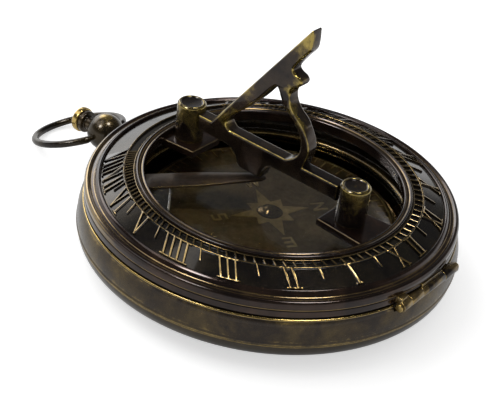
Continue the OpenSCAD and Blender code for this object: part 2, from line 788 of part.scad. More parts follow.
// Outline of the plate, as [y, height over the pivot], scaled with the tip's height
function gnomon_edge() =
    let (s = gnomon_h / 28.9, tip = [-4.4, gnomon_h], b = bar_h / 2,
         foot_y = tip[0] + (gnomon_h - b) / tan(style_angle),
         back = [[-4.5, 27.9], [-4.6, 26.2], [-4.4, 24.6], [-3.3, 23.0], [-2.2, 21.4], [-1.4, 19.9],
                 [-1.9, 19.2], [-3.1, 18.7], [-3.65, 17.9], [-3.2, 17.0], [-2.1, 16.2], [-1.55, 14.9],
                 [-1.9, 13.2], [-3.2, 11.6], [-4.7, 10.5], [-5.7, 9.3], [-6.6, 7.8], [-7.3, 6.0],
                 [-7.35, 4.4], [-6.9, 2.8]])
    concat([[foot_y, 0], [foot_y, b]], [tip + [0.4, -0.1], tip + [0.1, -0.15]],
           smooth([for (p = back) p * s], 3), [[-6.6, b], [-6.6, 0]]);

// Outline of the window between the arm, the leg and the bar
function window_edge() =
    let (s = gnomon_h / 28.9, b = bar_h / 2,
         curve = [[11.7, 2.2], [12.1, 3.1], [11.6, 4.1], [10.4, 5.4], [8.9, 6.8], [6.8, 9.0], [4.5, 11.7],
                  [2.6, 14.3], [1.7, 15.1], [1.1, 14.6], [0.3, 13.1], [-1.2, 11.4], [-3.4, 9.6],
                  [-4.9, 7.5], [-5.4, 5.6], [-5.2, 4.0], [-4.2, 2.7]])
    concat([[10.6, b / 2], [10.6, b]], smooth([for (p = curve) [p[0], p[1] * s]], 3),
           [[-2.6, b], [-2.6, b / 2]]);

module gnomon() {
    ends = bar_ends();
    tail = concat([[11.6, 0], [11.4, -bar_h / 2]],
                  bend([11.4, -bar_h / 2], [8.9, -bar_h / 2 - 0.3], [8.5, 0.8 - tail_h], 5),
                  [[7.9, 0.15 - tail_h], [7.2, -tail_h], [3.3, -tail_h], [2.5, 0.3 - tail_h]],
                  bend([2.3, 0.9 - tail_h], [1.6, -bar_h / 2 - 0.6], [0.4, -bar_h / 2], 5), [[0.4, 0]]);
    color("#4b3d28") difference() {
        upright() union() {
            difference() {
                polygon(gnomon_edge());
                polygon(window_edge());
            }
            polygon(tail);
            translate([ends[0], -bar_h / 2]) square([ends[1] - ends[0], bar_h]);
        }
        for (p = [[ends[0] - cut, 2.2 + cut], [ends[1] - 2.2, 2.2 + cut]])
            translate([0, p[0], pivot_z]) rotate([-90, 0, 0])
                cylinder(h = p[1], r = pivot_r + run_gap);
    }
}

// Stands a plate, drawn as [y, height over the pivot], in the plane of the gnomon
module upright() {
    translate([-plate_t / 2, 0, pivot_z]) rotate([90, 0, 90]) linear_extrude(plate_t) children();
}

case_back();
case_belt();
case_knuckles();
hinge_pin();
dial_plate();
dial_screws();
degree_ring();
pivot_post();
pivot_nut();
glass_pane();
glass_retainer();
glass_bezel();
crown_collar();
crown_ball();
button_spring();
compass_card();
card_rose();
card_magnets();
card_cap();
lid_ring();
hour_ring();
lid_knuckles();
lid_catch();
gnomon_posts();
post_rivets();
gnomon_pins();
leaf_spring();
spring_screws();
gnomon();
push_button();
latch_hook();
bow_ring();
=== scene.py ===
import json
import math

import bmesh
import bpy
from mathutils import Matrix, Vector, noise as fractal


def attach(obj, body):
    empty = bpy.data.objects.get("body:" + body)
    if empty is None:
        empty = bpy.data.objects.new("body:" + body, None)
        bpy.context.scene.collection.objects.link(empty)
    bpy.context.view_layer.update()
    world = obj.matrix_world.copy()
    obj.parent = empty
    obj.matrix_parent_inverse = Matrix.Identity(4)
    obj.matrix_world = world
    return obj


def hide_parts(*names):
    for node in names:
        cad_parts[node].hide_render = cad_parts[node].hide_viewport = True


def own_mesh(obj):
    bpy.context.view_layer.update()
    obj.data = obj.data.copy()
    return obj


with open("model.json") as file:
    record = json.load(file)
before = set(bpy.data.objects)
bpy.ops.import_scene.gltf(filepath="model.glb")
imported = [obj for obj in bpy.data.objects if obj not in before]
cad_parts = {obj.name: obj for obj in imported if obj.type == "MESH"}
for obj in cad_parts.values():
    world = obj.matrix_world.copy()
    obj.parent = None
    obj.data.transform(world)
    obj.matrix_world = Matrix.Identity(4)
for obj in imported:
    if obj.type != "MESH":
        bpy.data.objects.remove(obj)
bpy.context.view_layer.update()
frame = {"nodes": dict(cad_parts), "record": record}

mm = 0.001
bpy.context.scene.view_settings.view_transform = "Standard"
print("stage: frame loaded")

# heights and radii of the compass in mm, the same as in the solids
size = {
    "backHeight": 6.2, "backWall": 1.4, "landRadius": 13.0, "domeRise": 3.0, "caseRadius": 37.0,
    "rimRadius": 35.9, "rimInside": 33.9, "shelfRadius": 33.0, "ledgeRadius": 31.3, "dialSeat": 5.0,
    "bezelFoot": 9.2, "glassTop": 11.1, "glassRadius": 27.4, "rimTop": 11.43, "lidFoot": 11.76,
    "tickTop": 17.16, "lidRadius": 35.8, "hourOut": 32.85, "tickOut": 28.5, "tickIn": 26.3,
    "openRadius": 24.7, "seat": 16.21, "lidUnder": 15.41, "numeralWidth": 4.35, "numeralFall": 1.7,
    "bandDrop": 0.2, "relief": 0.35, "tabTop": 16.46, "tabThick": 1.55, "crownHeight": 7.15,
    "pivotHeight": 21.41, "postRadius": 2.85, "crownPostY": 21.75, "hingePostY": 17.75,
    "hingeY": -36.0, "hingeHeight": 11.595,
}

# the camera that matches the photograph, in metres
camera = {
    "place": (-0.1742, -0.1171, 0.1465),
    "right": (0.62848, -0.76953, 0.11332),
    "up": (0.36392, 0.41967, 0.83151),
    "forward": (0.68743, 0.48135, -0.5438),
    "lens": 93.6,
    "sensor": 36,
    "near": 0.01,
    "far": 20,
}


def addCamera(look):
    data = bpy.data.cameras.new("photoCamera")
    data.lens = look["lens"]
    data.sensor_width = look["sensor"]
    data.clip_start, data.clip_end = look["near"], look["far"]
    obj = bpy.data.objects.new("photoCamera", data)
    bpy.context.scene.collection.objects.link(obj)
    right, up, ahead = Vector(look["right"]), Vector(look["up"]), Vector(look["forward"])
    turn = Matrix((right, up, -ahead)).transposed().to_4x4()
    obj.matrix_world = Matrix.Translation(look["place"]) @ turn
    bpy.context.scene.camera = obj


addCamera(camera)
print("stage: camera placed")


# node trees
def emptyTree(owner):
    owner.use_nodes = True
    owner.node_tree.nodes.clear()
    return owner.node_tree


def put(tree, kind, values=None, **settings):
    node = tree.nodes.new(kind)
    for key, value in settings.items():
        setattr(node, key, value)
    for key, value in (values or {}).items():
        feed(tree, node.inputs[key], value)
    return node


def feed(tree, socket, value):
    if isinstance(value, bpy.types.NodeSocket):
        tree.links.new(value, socket)
    elif value is not None:
        socket.default_value = value


def maths(tree, kind, a, b=0.0, clamp=False):
    return put(tree, "ShaderNodeMath", {0: a, 1: b}, operation=kind, use_clamp=clamp).outputs[0]


def blendColour(tree, share, a, b, kind="MIX"):
    node = put(tree, "ShaderNodeMix", {0: share, 6: a, 7: b}, data_type="RGBA", blend_type=kind)
    return node.outputs[2]


def spread(tree, value, low, high, toLow=0.0, toHigh=1.0):
    node = put(tree, "ShaderNodeMapRange", {0: value, 1: low, 2: high, 3: toLow, 4: toHigh})
    return node.outputs[0]


def noise(tree, place, scale, detail=4.0, rough=0.55, distortion=0.0):
    node = put(tree, "ShaderNodeTexNoise", {"Vector": place, "Scale": scale, "Detail": detail,
                                            "Roughness": rough, "Distortion": distortion})
    return node.outputs[0]


def colour(rgb):
    return (rgb[0], rgb[1], rgb[2], 1.0)


def mixShaders(tree, share, first, second):
    return put(tree, "ShaderNodeMixShader", {0: share, 1: first, 2: second}).outputs[0]


def whiteGlow(tree, kind, strength):
    return put(tree, kind, {"Color": (1, 1, 1, 1), "Strength": strength}).outputs[0]


# light, backdrop and floor in metres and watts; shiny metal mirrors a white wall, which fades out
# over the heights wallTop, and above it a darker room with one window and two bright spots
studio = {
    "floorReach": 3.0, "floorDrop": 0.00004, "floorColour": 0.8, "floorGrain": 0.01,
    "floorGrainFrom": (0.3, 0.7), "floorGrainScale": 900, "floorWhite": 0.55, "floorMirror": 0.1,
    "worldLight": 0.6, "wallTop": (0.1, 0.3), "roomGlow": 0.1,
    "windowFrom": (0.3, 0.93, 0.2), "windowWidth": (0.8, 0.97), "windowGlow": 1.5,
    "spots": ((-0.6, 0.18, 0.78), (0.1, -0.245, 0.96)), "spotWidth": (0.987, 0.995), "spotGlow": 24.0,
    "aim": (0, 0, 0.012),
    "lamps": {
        "keyLamp": {"place": (-0.25, 0.35, 0.65), "watts": 1.3, "width": 0.5, "height": 0.5},
        "rimLamp": {"place": (0.15, 0.75, 0.40), "watts": 2.2, "width": 0.8, "height": 0.35},
    },
}


# 1 where the way points at the goal, less beside it
def facing(tree, way, goal):
    return put(tree, "ShaderNodeVectorMath", {0: way, 1: Vector(goal).normalized()},
               operation="DOT_PRODUCT").outputs[1]


def addWorld(look):
    world = bpy.data.worlds.new("studio")
    bpy.context.scene.world = world
    tree = emptyTree(world)
    ray = put(tree, "ShaderNodeLightPath").outputs
    # through the glass the backdrop is white, except in what the metal under it mirrors or scatters
    straight = maths(tree, "SUBTRACT", 1.0, maths(tree, "MINIMUM", ray["Diffuse Depth"], 1.0))
    through = maths(tree, "MULTIPLY", ray["Is Transmission Ray"], straight)
    mirrored = maths(tree, "MULTIPLY", through, maths(tree, "MINIMUM", ray["Glossy Depth"], 1.0))
    shiny = maths(tree, "MAXIMUM", ray["Is Glossy Ray"], mirrored)
    seen = maths(tree, "MAXIMUM", ray["Is Camera Ray"], maths(tree, "SUBTRACT", through, mirrored))

    way = put(tree, "ShaderNodeTexCoord").outputs["Generated"]
    window = spread(tree, facing(tree, way, look["windowFrom"]), *look["windowWidth"],
                    look["roomGlow"], look["windowGlow"])
    wall = spread(tree, facing(tree, way, (0.0, 0.0, 1.0)), *look["wallTop"], 1.0, 0.0)
    glow = maths(tree, "MAXIMUM", window, wall)
    for place in look["spots"]:
        spot = spread(tree, facing(tree, way, place), *look["spotWidth"], 0.0, look["spotGlow"])
        glow = maths(tree, "ADD", glow, spot)

    soft = whiteGlow(tree, "ShaderNodeBackground", look["worldLight"])
    mirror = whiteGlow(tree, "ShaderNodeBackground", glow)
    white = whiteGlow(tree, "ShaderNodeBackground", 1.0)
    lit = mixShaders(tree, shiny, soft, mirror)
    put(tree, "ShaderNodeOutputWorld", {0: mixShaders(tree, seen, lit, white)})


def addFloor(look):
    reach = look["floorReach"]
    mesh = bpy.data.meshes.new("floor")
    mesh.from_pydata([(-reach, -reach, 0), (reach, -reach, 0), (reach, reach, 0), (-reach, reach, 0)],
                     [], [(0, 1, 2, 3)])
    floor = bpy.data.objects.new("floor", mesh)
    floor.location.z = -look["floorDrop"]
    bpy.context.scene.collection.objects.link(floor)
    material = bpy.data.materials.new("floorPaper")
    tree = emptyTree(material)
    ray = put(tree, "ShaderNodeLightPath").outputs
    place = put(tree, "ShaderNodeTexCoord").outputs["Object"]
    pale, change = look["floorColour"], look["floorGrain"]
    grain = noise(tree, place, look["floorGrainScale"], detail=3)
    grain = spread(tree, grain, *look["floorGrainFrom"], pale - change, pale + change)
    paper = put(tree, "ShaderNodeBsdfDiffuse", {"Color": grain}).outputs[0]
    shown = maths(tree, "MAXIMUM", ray["Is Camera Ray"], ray["Is Transmission Ray"])
    lift = maths(tree, "ADD", maths(tree, "MULTIPLY", shown, look["floorWhite"]),
                 maths(tree, "MULTIPLY", ray["Is Glossy Ray"], look["floorMirror"]))
    glow = whiteGlow(tree, "ShaderNodeEmission", lift)
    both = put(tree, "ShaderNodeAddShader", {0: paper, 1: glow}).outputs[0]
    put(tree, "ShaderNodeOutputMaterial", {0: both})
    mesh.materials.append(material)


def addLamp(name, look, aim):
    data = bpy.data.lights.new(name, "AREA")
    data.shape = "RECTANGLE"
    data.size, data.size_y = look["width"], look["height"]
    data.energy = look["watts"]
    lamp = bpy.data.objects.new(name, data)
    bpy.context.scene.collection.objects.link(lamp)
    lamp.location = look["place"]
    ahead = Vector(aim) - Vector(look["place"])
    lamp.rotation_euler = ahead.to_track_quat("-Z", "Y").to_euler()


addWorld(studio)
addFloor(studio)
for lampName, lampLook in studio["lamps"].items():
    addLamp(lampName, lampLook, studio["aim"])
print("stage: studio lit")


# dark lacquered brass, browner in patches and worn to gold where the mesh's wear says so; on the lid's
# outer beads and on the numerals and ticks that wear is partly painted highlight
def patina(name, look):
    material = bpy.data.materials.new(name)
    tree = emptyTree(material)
    place = put(tree, "ShaderNodeTexCoord").outputs["Object"]
    wear = put(tree, "ShaderNodeAttribute", attribute_name="wear").outputs["Fac"]
    patches = noise(tree, place, look["patchScale"], detail=5, rough=0.6, distortion=0.6)
    fine = noise(tree, place, look["fineScale"], detail=6, rough=0.65)
    grain = noise(tree, place, look["grainScale"], detail=3, rough=0.6)

    brown = spread(tree, patches, *look["brownFrom"])
    base = blendColour(tree, brown, colour(look["dark"]), colour(look["brown"]))
    speck = spread(tree, fine, *look["speckFrom"], *look["speckTone"])
    base = blendColour(tree, 1.0, base, speck, "MULTIPLY")

    uneven = maths(tree, "MULTIPLY", maths(tree, "SUBTRACT", fine, 0.5), look["breakUp"])
    broad = maths(tree, "MULTIPLY", maths(tree, "SUBTRACT", patches, 0.5), look["breakUp"])
    worn = maths(tree, "ADD", maths(tree, "ADD", wear, uneven), broad)
    mask = spread(tree, worn, look["wearFrom"], look["wearTo"])
    mask = maths(tree, "MULTIPLY", mask, look["wearMost"], clamp=True)
    tone = blendColour(tree, mask, base, colour(look["gold"]))
    dirt = spread(tree, wear, *look["dirtFrom"], look["dirtTone"], 1.0)
    tone = blendColour(tree, 1.0, tone, dirt, "MULTIPLY")

    metal = look["metalDark"]
    if metal < 1.0:
        metal = spread(tree, mask, 0.0, 1.0, metal, 1.0)
    rough = spread(tree, mask, 0.0, 1.0, look["roughDark"], look["roughGold"])
    rough = maths(tree, "ADD", rough, spread(tree, grain, *look["grainFrom"], *look["grainRough"]))
    height = maths(tree, "ADD", maths(tree, "MULTIPLY", fine, 1.0 - look["grainShare"]),
                   maths(tree, "MULTIPLY", grain, look["grainShare"]))
    bump = put(tree, "ShaderNodeBump", {"Strength": look["bump"], "Distance": look["bumpDepth"] * mm,
                                        "Height": height}).outputs[0]
    shader = put(tree, "ShaderNodeBsdfPrincipled", {
        "Base Color": tone, "Metallic": metal, "Roughness": rough, "Normal": bump,
        "Specular IOR Level": look["specular"], "Coat Weight": look["coat"],
        "Coat Roughness": look["coatRough"]}).outputs[0]
    put(tree, "ShaderNodeOutputMaterial", {0: shader})
    return material


def clearGlass(name, look):
    material = bpy.data.materials.new(name)
    tree = emptyTree(material)
    place = put(tree, "ShaderNodeTexCoord").outputs["Object"]
    smear = noise(tree, place, look["smearScale"], detail=5, rough=0.6, distortion=1.0)
    smear = spread(tree, smear, *look["smearFrom"], look["rough"], look["smearRough"])
    shader = put(tree, "ShaderNodeBsdfPrincipled", {
        "Base Color": colour(look["tint"]), "Roughness": smear, "IOR": look["bending"],
        "Transmission Weight": 1.0}).outputs[0]
    put(tree, "ShaderNodeOutputMaterial", {0: shader})
    return material


# what the metal and card finishes share; scales are in waves a metre, bumpDepth is in mm
common = {
    "patchScale": 120, "fineScale": 700, "grainScale": 4200,
    "dark": (0.013, 0.008, 0.006), "brown": (0.046, 0.028, 0.017), "gold": (0.60, 0.42, 0.13),
    "brownFrom": (0.38, 0.68), "speckFrom": (0.35, 0.65), "speckTone": (0.75, 1.2),
    "dirtFrom": (-1.0, -0.1), "dirtTone": 0.35,
    "breakUp": 0.75, "wearFrom": 0.3, "wearTo": 0.95, "wearMost": 0.85, "metalDark": 0.65,
    "roughDark": 0.2, "roughGold": 0.17, "grainFrom": (0.3, 0.7), "grainRough": (-0.05, 0.06),
    "grainShare": 0.3, "bump": 0.12, "bumpDepth": 0.04,
    "specular": 0.3, "coat": 0.4, "coatRough": 0.04,
}
# each slot's material and what it has of its own
finishLooks = {
    "back_patina": ("backPatina", {
        "dark": (0.026, 0.020, 0.012), "brown": (0.052, 0.040, 0.024), "patchScale": 60,
        "wearMost": 0.5}),
    "belt_patina": ("beltPatina", {
        "dark": (0.022, 0.014, 0.008), "brown": (0.098, 0.067, 0.023), "patchScale": 90,
        "roughDark": 0.28}),
    "lid_patina": ("lidPatina", {
        "dark": (0.017, 0.009, 0.007), "brown": (0.056, 0.031, 0.019), "gold": (0.40, 0.28, 0.11),
        "wearMost": 0.6, "roughDark": 0.16, "roughGold": 0.12, "coat": 0.45}),
    "dial_patina": ("dialPatina", {
        "dark": (0.012, 0.009, 0.008), "brown": (0.034, 0.026, 0.014), "gold": (0.42, 0.29, 0.11),
        "wearMost": 0.75, "breakUp": 1.0, "roughDark": 0.16, "roughGold": 0.16, "coat": 0.45}),
    "gnomon_patina": ("gnomonPatina", {
        "dark": (0.015, 0.010, 0.008), "brown": (0.068, 0.046, 0.028), "gold": (0.44, 0.33, 0.085),
        "breakUp": 1.3, "wearMost": 0.9}),
    "worn_brass": ("wornBrass", {"brown": (0.16, 0.11, 0.05), "wearFrom": 0.1}),
    "inner_brass": ("innerBrass", {
        "dark": (0.1, 0.075, 0.04), "brown": (0.22, 0.16, 0.08), "metalDark": 1.0, "coat": 0.0,
        "breakUp": 0.4}),
    "spring_bronze": ("springBronze", {
        "dark": (0.03, 0.02, 0.014), "brown": (0.08, 0.055, 0.035), "roughDark": 0.32, "coat": 0.1}),
    "steel": ("bluedSteel", {
        "dark": (0.2, 0.2, 0.21), "brown": (0.3, 0.3, 0.3), "gold": (0.5, 0.5, 0.5), "metalDark": 1.0,
        "coat": 0.0}),
    "card_paint": ("cardPaint", {
        "dark": (0.040, 0.031, 0.017), "brown": (0.068, 0.051, 0.027), "metalDark": 0.0,
        "roughDark": 0.6, "coat": 0.0, "specular": 0.0}),
    "card_ink": ("cardInk", {
        "dark": (0.12, 0.090, 0.042), "brown": (0.16, 0.120, 0.056), "metalDark": 0.0,
        "roughDark": 0.5, "coat": 0.0, "specular": 0.0}),
}
glassLook = {
    "tint": (0.98, 0.95, 0.88), "rough": 0.0, "smearRough": 0.02, "smearFrom": (0.45, 0.75),
    "smearScale": 140, "bending": 1.5,
}
finishes = {slot: patina(name, {**common, **own}) for slot, (name, own) in finishLooks.items()}
finishes["glass"] = clearGlass("coverGlass", glassLook)
slotOf = {part["node"]: part["material_slot"] for part in frame["record"]["subparts"]}
bodies = frame["record"]["behaviour"]["bodies"]
bodyOf = {node: body for body, nodes in bodies.items() for node in nodes}
for nodeName, nodeObject in frame["nodes"].items():
    nodeObject.data.materials.clear()
    nodeObject.data.materials.append(finishes[slotOf[nodeName]])
print("stage: finishes made")


# places a lathe's point: r out from the axis, h along it, at the angle turn
def aboutZ(r, h, turn, middle=(0.0, 0.0)):
    return (middle[0] + r * math.cos(turn), middle[1] + r * math.sin(turn), h)


def aboutCrown(r, h, turn, middle=None):
    return (r * math.sin(turn), h, size["crownHeight"] + r * math.cos(turn))


tiny = 1e-6
# a corner is fully worn from fullTurn degrees on, and its fillet takes up to sideShare of a side; a
# guard point keeps the wear near the corner where a side has room for it; arc holds places and wear
cornerLook = {
    "fullTurn": 55, "sideShare": 0.42, "guard": 2.4, "guardRoom": 2.2,
    "arc": ((0.0, 0.3), (0.25, 0.85), (0.5, 1.0), (0.75, 0.85), (1.0, 0.3)),
}


# a rounded point's wear: dirt stays, inner corners turn dirty, and outer ones keep what is more worn
def cornerWear(base, wear):
    if base < 0:
        return base
    return max(base, wear) if wear > 0 else wear


# an outline with its corners rounded, as [r, z, wear]: worn on outer corners, dirty in inner ones;
# an outline's point may bring its own wear as a third value, and one that turns less than least
# degrees stays as it is
def rounded(outline, fillet, least=14):
    shaped = []
    share, guard = cornerLook["sideShare"], cornerLook["guard"]
    for i, point in enumerate(outline):
        here = Vector(point[:2])
        base = point[2] if len(point) > 2 else 0.0
        last, after = Vector(outline[i - 1][:2]), Vector(outline[(i + 1) % len(outline)][:2])
        inward, outward = here - last, after - here
        turn = math.degrees(math.atan2(inward.cross(outward), inward.dot(outward)))
        if abs(turn) < least or min(here.x, inward.length, outward.length) < tiny:
            shaped.append((here.x, here.y, base))
            continue
        wear = math.copysign(min(1.0, abs(turn) / cornerLook["fullTurn"]), turn)
        reach = min(fillet, share * inward.length, share * outward.length)
        room = cornerLook["guardRoom"] * guard * reach
        start, end = here - inward.normalized() * reach, here + outward.normalized() * reach
        if inward.length > room:
            far = here - inward.normalized() * reach * guard
            shaped.append((far.x, far.y, base))
        for t, amount in cornerLook["arc"]:
            spot = start.lerp(here, t).lerp(here.lerp(end, t), t)
            shaped.append((spot.x, spot.y, cornerWear(base, wear * amount)))
        if outward.length > room:
            far = here + outward.normalized() * reach * guard
            shaped.append((far.x, far.y, base))
    return shaped


# curve from a to c, pulled towards b
def bend(a, b, c, count):
    curve = []
    for i in range(count + 1):
        t = i / count
        curve.append(tuple((1 - t) ** 2 * p + 2 * t * (1 - t) * q + t * t * s
                           for p, q, s in zip(a, b, c)))
    return curve


# smooth curve through points, without the last one, as in the solids
def smooth(points, count):
    curve = []
    for i in range(len(points) - 1):
        a, b = points[max(i - 1, 0)], points[i]
        c, d = points[i + 1], points[min(i + 2, len(points) - 1)]
        for k in range(count):
            t = k / count
            curve.append(tuple(0.5 * (2 * q + (s - p) * t + (2 * p - 5 * q + 4 * s - u) * t * t
                                      + (3 * q - p - 3 * s + u) * t ** 3)
                               for p, q, s, u in zip(a, b, c, d)))
    return curve


def newBody():
    body = bmesh.new()
    body.verts.layers.float.new("wear")
    return body


def addPoint(body, place, wear=0.0):
    point = body.verts.new([c * mm for c in place])
    point[body.verts.layers.float["wear"]] = wear
    return point


# turns [r, height, wear] points about an axis into a closed skin
def lathe(body, shaped, segments, place=aboutZ, middle=(0.0, 0.0)):
    rings = []
    for r, h, wear in shaped:
        if r < tiny:
            rings.append([addPoint(body, place(0.0, h, 0.0, middle), wear)] * segments)
        else:
            rings.append([addPoint(body, place(r, h, 2 * math.pi * k / segments, middle), wear)
                          for k in range(segments)])
    made = []
    for i in range(len(rings)):
        low, high = rings[i], rings[(i + 1) % len(rings)]
        for k in range(segments):
            n = (k + 1) % segments
            corners = []
            for point in (low[k], low[n], high[n], high[k]):
                if point not in corners:
                    corners.append(point)
            if len(corners) > 2 and body.faces.get(corners) is None:
                made.append(body.faces.new(corners))
    bmesh.ops.recalc_face_normals(body, faces=made)


# the mesh that an object shows with its modifiers
def shownMesh(holder):
    bpy.context.view_layer.update()
    graph = bpy.context.evaluated_depsgraph_get()
    return bpy.data.meshes.new_from_object(holder.evaluated_get(graph))


# cuts a shape across, so that its wear can change from place to place
def sliced(shape, every):
    low = Vector([min(p.co[i] for p in shape.verts) for i in range(3)])
    high = Vector([max(p.co[i] for p in shape.verts) for i in range(3)])
    for axis, normal in enumerate((Vector((1, 0, 0)), Vector((0, 1, 0)))):
        for k in range(1, int((high[axis] - low[axis]) / every)):
            whole = shape.verts[:] + shape.edges[:] + shape.faces[:]
            bmesh.ops.bisect_plane(shape, geom=whole, plane_co=low + normal * every * k, plane_no=normal)


# where on a rounded edge the wear starts, is full and how wide it is, as shares of the edge
edgeRub = {"from": 0.02, "middle": 0.62, "width": 0.42}


# a flat shape drawn as (u, v) loops and made thick along w, with round edges; turn maps (u, v, w) to mm
def thickShape(body, loops, thick, edge, turn, every):
    curve = bpy.data.curves.new("outline", "CURVE")
    curve.dimensions = "2D"
    curve.fill_mode = "BOTH"
    for loop in loops:
        spline = curve.splines.new("POLY")
        spline.points.add(len(loop) - 1)
        for point, (u, v) in zip(spline.points, loop):
            point.co = (u, v, 0.0, 1.0)
        spline.use_cyclic_u = True
    curve.extrude = thick / 2 - edge
    curve.bevel_depth = edge
    curve.bevel_resolution = 3
    curve.offset = -edge
    holder = bpy.data.objects.new("outline", curve)
    bpy.context.scene.collection.objects.link(holder)
    flat = shownMesh(holder)
    bpy.data.objects.remove(holder)
    shape = bmesh.new()
    shape.from_mesh(flat)
    bmesh.ops.remove_doubles(shape, verts=shape.verts, dist=1e-4)
    layer = shape.verts.layers.float.new("wear")
    for point in shape.verts:
        depth = (abs(point.co.z) - (thick / 2 - edge)) / edge
        rubbed = max(0.0, 1.0 - abs(depth - edgeRub["middle"]) / edgeRub["width"])
        point[layer] = 0.0 if depth < edgeRub["from"] else rubbed
    sliced(shape, every)
    merge(body, shape, turn)
    bpy.data.meshes.remove(flat)
    bpy.data.curves.remove(curve)


# copies a shape in mm into body, which is in metres; turn maps its points
def merge(body, shape, turn):
    layer = shape.verts.layers.float["wear"]
    copies = {point: addPoint(body, turn(point.co), point[layer]) for point in shape.verts}
    made = [body.faces.new([copies[point] for point in face.verts]) for face in shape.faces]
    bmesh.ops.recalc_face_normals(body, faces=made)
    shape.free()


# bevels the sharp edges of a shape and marks the middle of each bevel as worn
def wornBevel(shape, edge, sharp):
    layer = shape.verts.layers.float.new("wear")
    edges = [e for e in shape.edges if len(e.link_faces) == 2
             and e.calc_face_angle(0.0) > math.radians(sharp)]
    done = bmesh.ops.bevel(shape, geom=edges, offset=edge, offset_type="OFFSET", segments=2,
                           profile=0.5, affect="EDGES", clamp_overlap=True)
    newFaces = set(done["faces"])
    for point in shape.verts:
        if point.link_faces and all(face in newFaces for face in point.link_faces):
            point[layer] = 1.0


# closed round wire along points in mm; radii has one value for each point
def wire(body, points, radii, sides, wear=0.0):
    rings = []
    side = None
    for i, here in enumerate(points):
        ahead = (points[min(i + 1, len(points) - 1)] - points[max(i - 1, 0)]).normalized()
        if side is None:
            side = ahead.orthogonal().normalized()
        side = (side - ahead * side.dot(ahead)).normalized()
        other = ahead.cross(side)
        turns = (2 * math.pi * k / sides for k in range(sides))
        rings.append([addPoint(body, here + radii[i] * (side * math.cos(a) + other * math.sin(a)), wear)
                      for a in turns])
    made = []
    for low, high in zip(rings, rings[1:]):
        for k in range(sides):
            n = (k + 1) % sides
            made.append(body.faces.new((low[k], low[n], high[n], high[k])))
    for ring in (rings[0], rings[-1]):
        made.append(body.faces.new(ring))
    bmesh.ops.recalc_face_normals(body, faces=made)


# wears a body within reach of a spot, most in the middle
def rub(body, spot, reach, amount):
    layer = body.verts.layers.float["wear"]
    for point in body.verts:
        near = 1.0 - (point.co / mm - Vector(spot)).length / reach
        if near > 0:
            point[layer] = max(point[layer], point[layer] + amount * near * near * (3 - 2 * near))


# small unevenness, in mm, as cast or hand-worked metal has
def unevenSurface(body, depth, scale, seed=0.0):
    body.normal_update()
    for point in body.verts:
        place = point.co / mm * scale + Vector((seed, seed, seed))
        point.co += point.normal * fractal.noise(place) * depth * mm


# the mesh that is left of a body when a cutter's room is taken out of it; both are used up
def carve(body, cutter):
    objects = []
    for name, shape in (("carved", body), ("cutter", cutter)):
        mesh = bpy.data.meshes.new(name)
        shape.to_mesh(mesh)
        shape.free()
        objects.append(bpy.data.objects.new(name, mesh))
        bpy.context.scene.collection.objects.link(objects[-1])
    change = objects[0].modifiers.new("cut", "BOOLEAN")
    change.object, change.operation, change.solver = objects[1], "DIFFERENCE", "EXACT"
    result = shownMesh(objects[0])
    for each in objects:
        bpy.data.objects.remove(each)
    return result


# makes a body or mesh a piece that stands for CAD nodes and moves with them
def makePiece(name, source, nodes, sharp=42):
    if isinstance(source, bmesh.types.BMesh):
        mesh = bpy.data.meshes.new(name)
        source.to_mesh(mesh)
        source.free()
    else:
        mesh = source
        mesh.name = name
    piece = bpy.data.objects.new(name, mesh)
    bpy.context.scene.collection.objects.link(piece)
    mesh.materials.clear()
    mesh.materials.append(finishes[slotOf[nodes[0]]])
    mesh.polygons.foreach_set("use_smooth", [True] * len(mesh.polygons))
    mesh.set_sharp_from_angle(angle=math.radians(sharp))
    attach(piece, bodyOf[nodes[0]])
    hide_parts(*nodes)
    return piece


# a CAD node's own form with its sharp edges rounded and worn
def roundedCopy(name, node, edge, sharp=32, worn=0.0):
    shape = bmesh.new()
    shape.from_mesh(frame["nodes"][node].data)
    bmesh.ops.remove_doubles(shape, verts=shape.verts, dist=2e-6)
    bmesh.ops.dissolve_limit(shape, angle_limit=math.radians(0.5), verts=shape.verts,
                             edges=shape.edges)
    wornBevel(shape, edge * mm, sharp)
    for point in shape.verts:
        point[shape.verts.layers.float["wear"]] += worn
    makePiece(name, shape, [node])


# the case: a domed back and a belt with a bright edge above and below, in mm
case = {
    "fillet": 0.28, "segments": 256, "edgeGlow": 0.5, "domeSteps": 16, "sideSteps": 12,
    "cornerInset": 2.5, "seamInset": 0.2, "hollowInset": 0.4, "hollowDrop": 0.6, "hollowSteps": 8,
}
hinge = {
    "radius": 1.0, "half": 9.0, "room": 0.3, "cutBack": 3.0, "cutPast": 2.0,
    "edge": 0.16, "worn": 0.2, "pinEdge": 0.1, "pinWorn": 0.6,
}


def addCaseBack(look):
    land, corner = size["landRadius"], size["caseRadius"] - look["cornerInset"]
    seam = size["caseRadius"] - look["seamInset"]
    rise, top = size["domeRise"], size["backHeight"]
    steps = look["domeSteps"]
    dome = [(land + t * (corner - land), rise * t * t) for t in (i / steps for i in range(steps + 1))]
    slope = 2 * rise / (corner - land)
    side = bend((corner, rise), (seam, rise + slope * (seam - corner)), (seam, top), look["sideSteps"])
    inside, steps = size["ledgeRadius"] - look["hollowInset"], look["hollowSteps"]
    hollow = [(land + t * (inside - land), size["backWall"] + (rise - look["hollowDrop"]) * t * t)
              for t in (i / steps for i in range(steps, -1, -1))]
    outline = [(0.0, 0.0)] + dome + side[1:] + [
        (size["shelfRadius"], top), (size["shelfRadius"], size["dialSeat"]),
        (size["ledgeRadius"], size["dialSeat"]), (size["ledgeRadius"], rise + 1)] + hollow + [
        (0.0, size["backWall"])]
    body = newBody()
    lathe(body, rounded(outline, look["fillet"]), look["segments"])
    makePiece("caseBack", body, ["case_back"])


